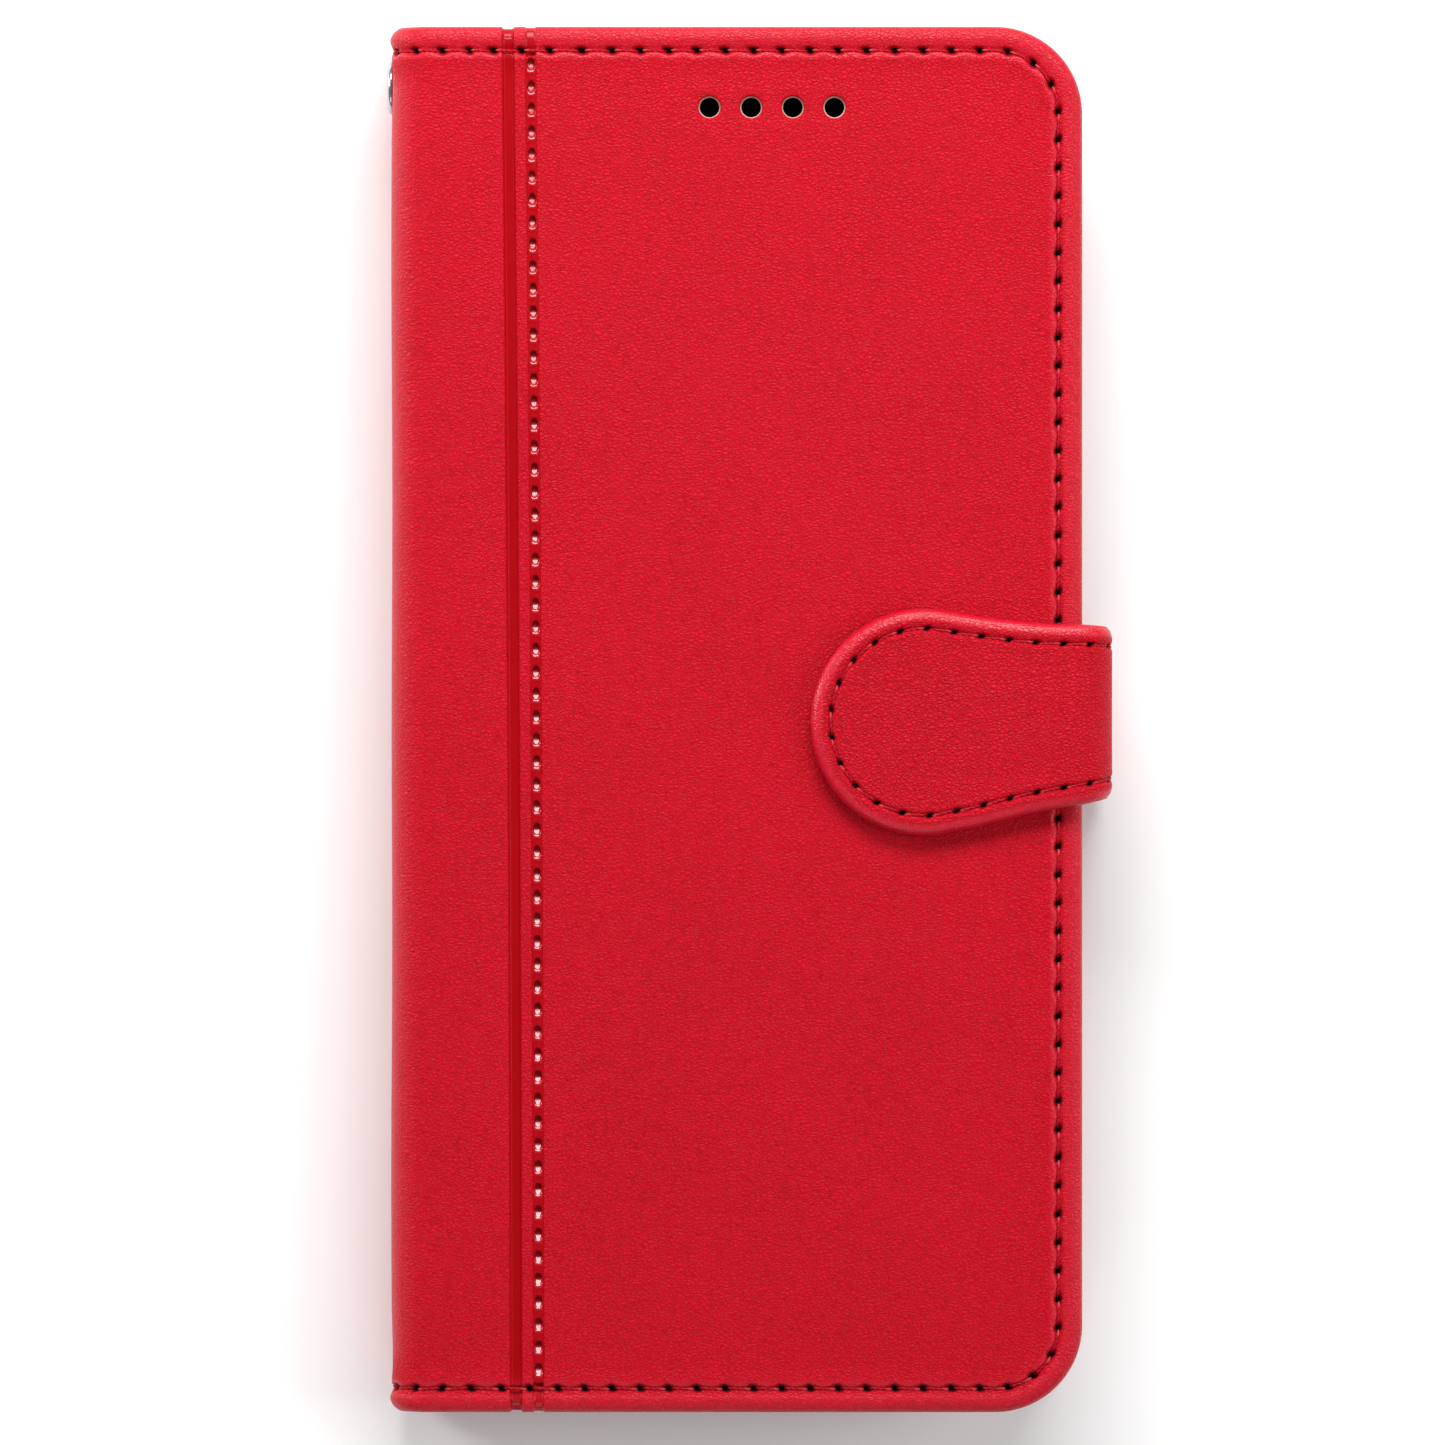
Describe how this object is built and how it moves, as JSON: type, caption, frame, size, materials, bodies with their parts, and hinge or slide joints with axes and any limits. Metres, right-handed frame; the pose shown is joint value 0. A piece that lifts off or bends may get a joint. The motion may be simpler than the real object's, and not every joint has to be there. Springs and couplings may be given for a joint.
{
  "type": "phone wallet case",
  "caption": "Book-style phone wallet case in red pebbled leather, closed, with a spine, a creased front cover, earpiece holes, card slots, a phone tray and a magnetic closing tab.",
  "frame": {"origin": "middle of the back cover's outer face, on which the closed case lies", "axes": "+X across the case from the spine to the opening edge, +Y along its height towards the earpiece holes, +Z out of the front cover"},
  "size_m": [0.0872, 0.1666, 0.0206],
  "materials": {
    "red_leather": "pebbled, soft sheen",
    "red_lining": "fine matt microfibre",
    "pocket_leather": "smooth, low sheen",
    "grey_board": "raw board",
    "red_thread": "twisted thread",
    "black_tpu": "satin moulded",
    "bright_metal": "polished",
    "steel_plate": "rolled",
    "magnet_sheet": "matt, rubber bonded",
    "clear_adhesive": "clear film"
  },
  "bodies": {
    "back_cover": {"back_skin": "red_leather", "back_board": "grey_board", "back_lining": "red_lining", "back_thread": "red_thread", "phone_tray": "black_tpu", "tray_adhesive": "clear_adhesive", "tab_root": "red_lining"},
    "spine": {"spine_skin": "red_leather", "spine_board": "grey_board", "spine_lining": "red_lining", "eyelet": "bright_metal", "eyelet_washer": "bright_metal"},
    "hinge_strip": {"strip_skin": "red_leather", "strip_board": "grey_board", "strip_lining": "red_lining", "strip_thread_top": "red_thread", "strip_thread_bottom": "red_thread"},
    "front_cover": {"front_skin": "red_leather", "front_board": "grey_board", "front_lining": "red_lining", "catch_plate": "steel_plate", "cash_pocket": "pocket_leather", "card_panel_1": "pocket_leather", "card_panel_2": "pocket_leather", "card_panel_3": "pocket_leather", "front_thread": "red_thread"},
    "tab_strap": {"tab_side_skin": "red_leather", "tab_side_lining": "red_lining"},
    "tab_flap": {"tab_flap_skin": "red_leather", "tab_flap_lining": "red_lining", "tab_magnet": "magnet_sheet", "tab_thread": "red_thread"}
  },
  "joints": [
    {"name": "spine_fold", "type": "hinge", "parent": "back_cover", "child": "spine", "pos_m": [-0.04, 0, 0.0015], "axis": [0, -1, 0], "range_deg": [0, 90]},
    {"name": "cover_fold", "type": "hinge", "parent": "spine", "child": "hinge_strip", "pos_m": [-0.04, 0, 0.0165], "axis": [0, -1, 0], "range_deg": [0, 90]},
    {"name": "crease_fold", "type": "hinge", "parent": "hinge_strip", "child": "front_cover", "pos_m": [-0.0268, 0, 0.0181], "axis": [0, -1, 0], "range_deg": [0, 150]},
    {"name": "tab_root_fold", "type": "hinge", "parent": "back_cover", "child": "tab_strap", "pos_m": [0.0434, 0, 0.0016], "axis": [0, 1, 0], "range_deg": [0, 90]},
    {"name": "tab_top_fold", "type": "hinge", "parent": "tab_strap", "child": "tab_flap", "pos_m": [0.0433, 0, 0.0189], "axis": [0, 1, 0], "range_deg": [0, 90], "deforming": ["tab_flap_skin", "tab_flap_lining", "tab_magnet", "tab_thread"]}
  ]
}
